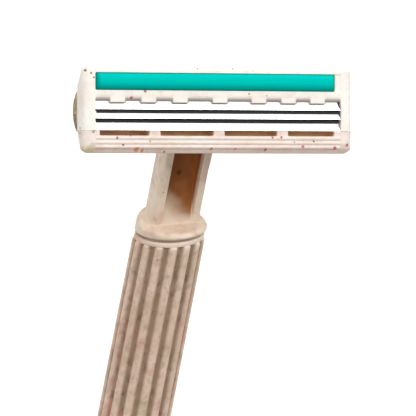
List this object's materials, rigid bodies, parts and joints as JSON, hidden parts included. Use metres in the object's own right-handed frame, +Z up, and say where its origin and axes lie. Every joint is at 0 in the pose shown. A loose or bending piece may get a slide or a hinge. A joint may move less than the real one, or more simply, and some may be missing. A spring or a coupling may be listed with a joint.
{
  "type": "cartridge razor",
  "caption": "Wet shaving razor with a fluted round handle, a channelled neck and a wide multi-blade head that pivots and slides off when the rear button is pushed.",
  "frame": {"origin": "middle of the flat lower end of the handle", "axes": "+Z up along the handle to the head, X along the blades, -Y the way the blades face"},
  "size_m": [0.0426, 0.016, 0.1402],
  "materials": {
    "fibre_plastic": "satin moulded plant-fibre plastic with small brown, red and orange specks",
    "button_plastic": "satin moulded plant-fibre plastic",
    "yoke_plastic": "plain satin plastic",
    "blade_steel": "fine ground stainless steel with a bright bevel",
    "pin_steel": "drawn stainless steel",
    "spring_steel": "bright spring wire",
    "spacer_plastic": "matt black plastic",
    "seal_rubber": "soft dark rubber",
    "soap_strip": "smooth water-soluble soap strip"
  },
  "bodies": {
    "handle": {"handle_sleeve": "fibre_plastic", "end_cap": "fibre_plastic", "end_cap_seal": "seal_rubber", "neck": "fibre_plastic", "collar_seal": "seal_rubber", "button_spring": "spring_steel", "plunger_spring": "spring_steel"},
    "button": {"release_button": "button_plastic"},
    "plunger": {"plunger": "yoke_plastic"},
    "yoke": {"pivot_yoke": "yoke_plastic", "pivot_pin_left": "pin_steel", "pivot_pin_right": "pin_steel"},
    "head": {"guard_base": "fibre_plastic", "cartridge_housing": "fibre_plastic", "lubricating_strip": "soap_strip", "blade_rear": "blade_steel", "blade_middle": "blade_steel", "blade_front": "blade_steel", "spacer_rear": "spacer_plastic", "spacer_front": "spacer_plastic", "stake_pin_left": "pin_steel", "stake_pin_centre": "pin_steel", "stake_pin_right": "pin_steel"}
  },
  "joints": [
    {"name": "head_pivot", "type": "hinge", "parent": "yoke", "child": "head", "pos_m": [0, -0.00379, 0.13385], "axis": [-1, 0, 0], "range_deg": [0, 40], "stiffness_Nm_per_rad": 0.004, "springref_deg": -17.19},
    {"name": "plunger_slide", "type": "slide", "parent": "handle", "child": "plunger", "axis": [0, 0, -1], "range_m": [0, 0.0021], "deforming": ["plunger_spring"]},
    {"name": "release_button_slide", "type": "slide", "parent": "handle", "child": "button", "axis": [0, 0, 1], "range_m": [0, 0.005], "stiffness_N_per_m": 100, "springref_m": -0.003, "deforming": ["button_spring"]},
    {"name": "cartridge_dock", "type": "slide", "parent": "handle", "child": "yoke", "axis": [0, 0, 1], "range_m": [0, 0.005]}
  ],
  "couplings": [
    {"joint": "plunger_slide", "follows": "head_pivot", "m_per_rad": 0.0029592},
    {"joint": "cartridge_dock", "follows": "release_button_slide", "ratio": 1}
  ]
}
